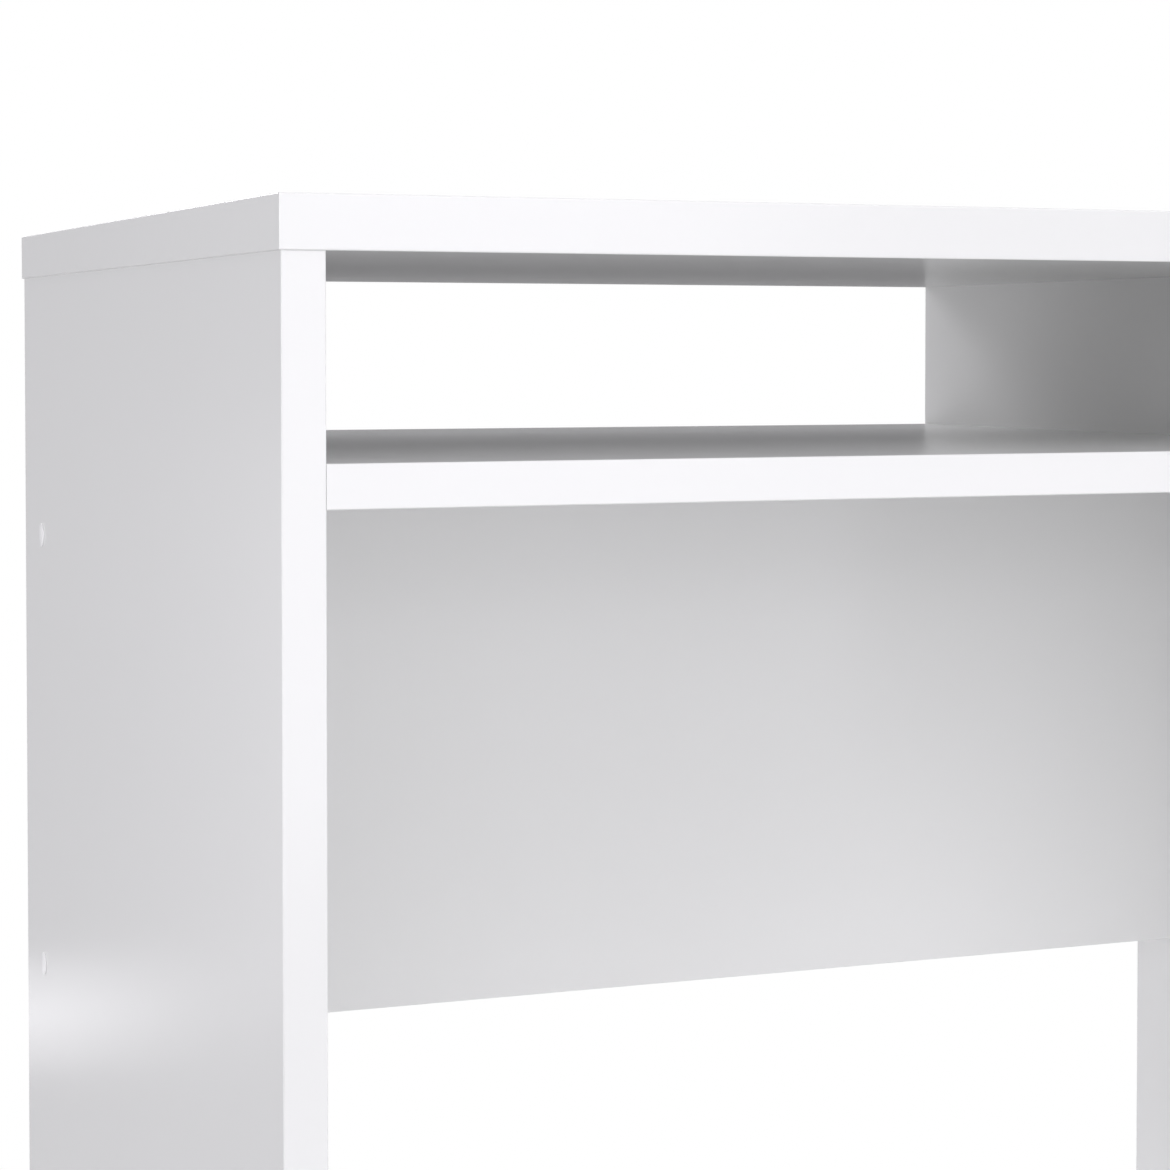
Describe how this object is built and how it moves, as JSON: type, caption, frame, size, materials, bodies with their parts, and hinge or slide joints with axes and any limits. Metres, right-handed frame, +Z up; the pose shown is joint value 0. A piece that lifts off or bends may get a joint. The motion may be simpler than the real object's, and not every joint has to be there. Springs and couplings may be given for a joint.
{
  "type": "console table",
  "caption": "White panel-sided console table with an open compartment under the top, parted by a divider, and a recessed back panel below.",
  "frame": {"origin": "on the floor, under the centre of the table", "axes": "+X to the right seen from the front, +Y to the back, +Z up"},
  "size_m": [0.715, 0.48, 0.75],
  "materials": {
    "melamine": "white melamine-faced particleboard, semi-gloss",
    "edge_plastic": "white ABS edge strip, satin",
    "cap_plastic": "white moulded plastic, satin",
    "glide_plastic": "pale grey moulded plastic, satin",
    "zinc": "die-cast zinc, dull",
    "steel": "zinc-plated steel",
    "beech": "bare fluted beech"
  },
  "bodies": {
    "root": {"back_panel": "melamine", "back_panel_bolts": "steel", "back_panel_cam_covers": "cap_plastic", "back_panel_cams": "zinc", "back_panel_strip_bottom": "edge_plastic", "divider_board": "melamine", "divider_dowels": "beech", "divider_screw_caps": "cap_plastic", "divider_screws": "steel", "divider_strip_front": "edge_plastic", "divider_strip_rear": "edge_plastic", "left_back_screw_caps": "cap_plastic", "left_back_screws": "steel", "left_glide_nails": "steel", "left_glides": "glide_plastic", "left_shelf_bolts": "steel", "left_shelf_cam_covers": "cap_plastic", "left_shelf_cams": "zinc", "left_shelf_dowels": "beech", "left_side_panel": "melamine", "left_side_strip_bottom": "edge_plastic", "left_side_strip_front": "edge_plastic", "left_side_strip_rear": "edge_plastic", "left_top_bolts": "steel", "left_top_cam_covers": "cap_plastic", "left_top_cams": "zinc", "left_top_dowels": "beech", "right_back_screw_caps": "cap_plastic", "right_back_screws": "steel", "right_glide_nails": "steel", "right_glides": "glide_plastic", "right_shelf_bolts": "steel", "right_shelf_cam_covers": "cap_plastic", "right_shelf_cams": "zinc", "right_shelf_dowels": "beech", "right_side_panel": "melamine", "right_side_strip_bottom": "edge_plastic", "right_side_strip_front": "edge_plastic", "right_side_strip_rear": "edge_plastic", "right_top_bolts": "steel", "right_top_cam_covers": "cap_plastic", "right_top_cams": "zinc", "right_top_dowels": "beech", "shelf_board": "melamine", "shelf_strip_front": "edge_plastic", "shelf_strip_rear": "edge_plastic", "top_board": "melamine", "top_strip_front": "edge_plastic", "top_strip_left": "edge_plastic", "top_strip_rear": "edge_plastic", "top_strip_right": "edge_plastic"}
  },
  "joints": []
}
